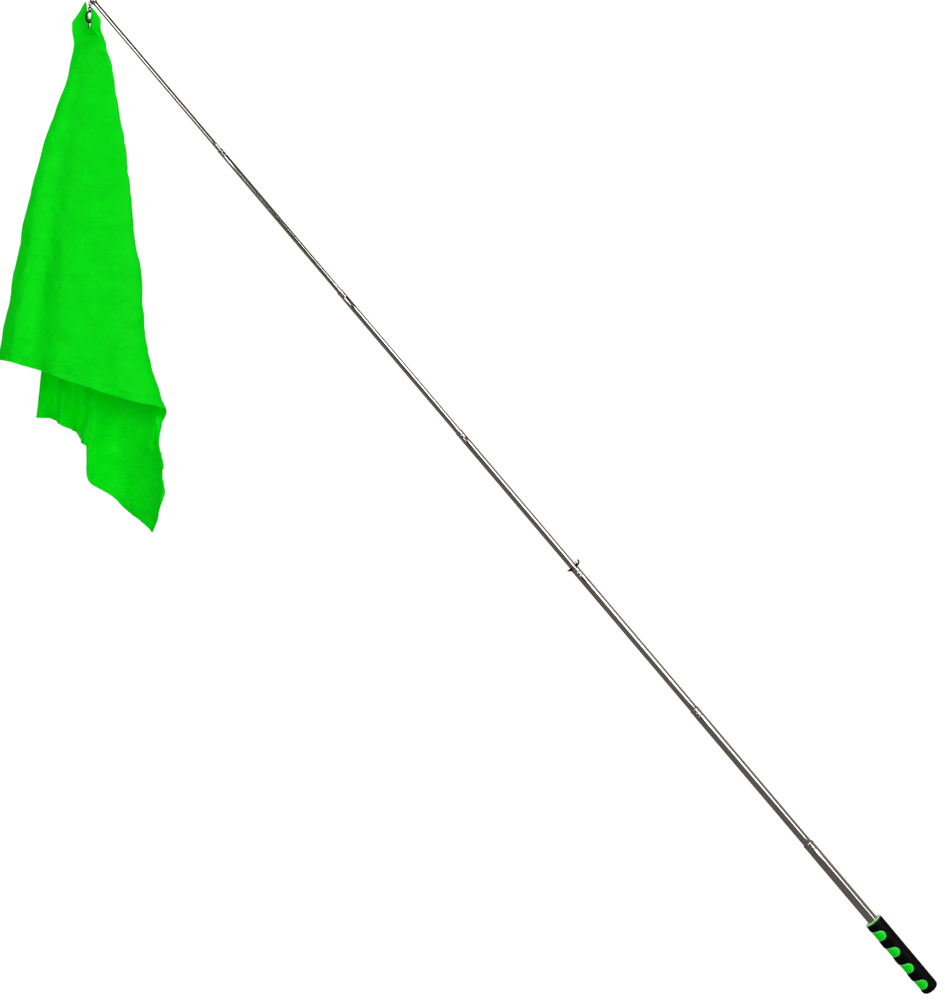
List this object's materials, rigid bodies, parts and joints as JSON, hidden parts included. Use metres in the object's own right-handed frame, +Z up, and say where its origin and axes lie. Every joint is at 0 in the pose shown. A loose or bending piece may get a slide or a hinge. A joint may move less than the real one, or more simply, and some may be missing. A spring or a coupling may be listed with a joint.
{
  "type": "telescopic flagpole",
  "caption": "Slim telescopic steel hand flagpole with a two-tone finger grip, a ball tip with a snap hook, a sliding clip and a cloth flag hung by its corner.",
  "frame": {"origin": "centre of the flat lower end of the grip", "axes": "+Z up, +Y away from the front view, pole in the XZ plane, leaning with its tip toward -X; the flag hangs along -Z"},
  "size_m": [1.1485, 0.0813, 1.2236],
  "materials": {
    "polished_steel": "polished stainless steel tube, bright drawn",
    "spring_bronze": "bare phosphor bronze",
    "black_metal": "gloss black coated steel",
    "nickel": "bright nickel-plated brass",
    "black_rubber": "satin moulded rubber",
    "green_rubber": "smooth moulded rubber",
    "black_plastic": "moulded, satin",
    "flag_cloth": "thin plain-weave polyester with a slight sheen"
  },
  "bodies": {
    "grip": {"grip_sleeve": "black_rubber", "grip_core": "green_rubber", "base_plug": "black_plastic", "tube_1": "polished_steel"},
    "section_2": {"tube_2": "polished_steel", "friction_sleeve_2": "spring_bronze"},
    "section_3": {"tube_3": "polished_steel", "friction_sleeve_3": "spring_bronze"},
    "section_4": {"tube_4": "polished_steel", "friction_sleeve_4": "spring_bronze"},
    "section_5": {"tube_5": "polished_steel", "friction_sleeve_5": "spring_bronze"},
    "section_6": {"tube_6": "polished_steel", "friction_sleeve_6": "spring_bronze"},
    "section_7": {"tube_7": "polished_steel", "friction_sleeve_7": "spring_bronze", "tip_ball": "polished_steel"},
    "link": {"link_ring": "black_metal"},
    "hook": {"hook_body": "black_metal", "gate_pin": "polished_steel"},
    "gate": {"hook_gate": "black_metal"},
    "flag": {"flag": "flag_cloth", "grommet_eyelet": "nickel", "grommet_washer": "nickel"},
    "clip": {"pole_clip": "black_plastic"}
  },
  "joints": [
    {"name": "section_2_slide", "type": "slide", "parent": "grip", "child": "section_2", "axis": [-0.6468, 0, 0.7627], "range_m": [-0.202, 0]},
    {"name": "section_3_slide", "type": "slide", "parent": "section_2", "child": "section_3", "axis": [-0.6468, 0, 0.7627], "range_m": [-0.205, 0]},
    {"name": "section_4_slide", "type": "slide", "parent": "section_3", "child": "section_4", "axis": [-0.6468, 0, 0.7627], "range_m": [-0.208, 0]},
    {"name": "section_5_slide", "type": "slide", "parent": "section_4", "child": "section_5", "axis": [-0.6468, 0, 0.7627], "range_m": [-0.21, 0]},
    {"name": "section_6_slide", "type": "slide", "parent": "section_5", "child": "section_6", "axis": [-0.6468, 0, 0.7627], "range_m": [-0.215, 0]},
    {"name": "section_7_slide", "type": "slide", "parent": "section_6", "child": "section_7", "axis": [-0.6468, 0, 0.7627], "range_m": [-0.217, 0]},
    {"name": "clip_slide", "type": "slide", "parent": "section_3", "child": "clip", "axis": [-0.6468, 0, 0.7627], "range_m": [0, 0.205]},
    {"name": "link_swing", "type": "hinge", "parent": "section_7", "child": "link", "pos_m": [-1.03426, 0, 1.20931], "axis": [1, 0, 0], "range_deg": [-25, 25]},
    {"name": "hook_swing", "type": "hinge", "parent": "link", "child": "hook", "pos_m": [-1.03426, 0, 1.20551], "axis": [0, -1, 0], "range_deg": [-40, 8]},
    {"name": "gate_hinge", "type": "hinge", "parent": "hook", "child": "gate", "pos_m": [-1.03139, 0, 1.20052], "axis": [0, -1, 0], "range_deg": [-25, 0], "stiffness_Nm_per_rad": 0.01, "springref_deg": 17.19},
    {"name": "flag_swing", "type": "hinge", "parent": "hook", "child": "flag", "pos_m": [-1.03426, 0, 1.18851], "axis": [0, -1, 0], "range_deg": [-12, 8]}
  ]
}
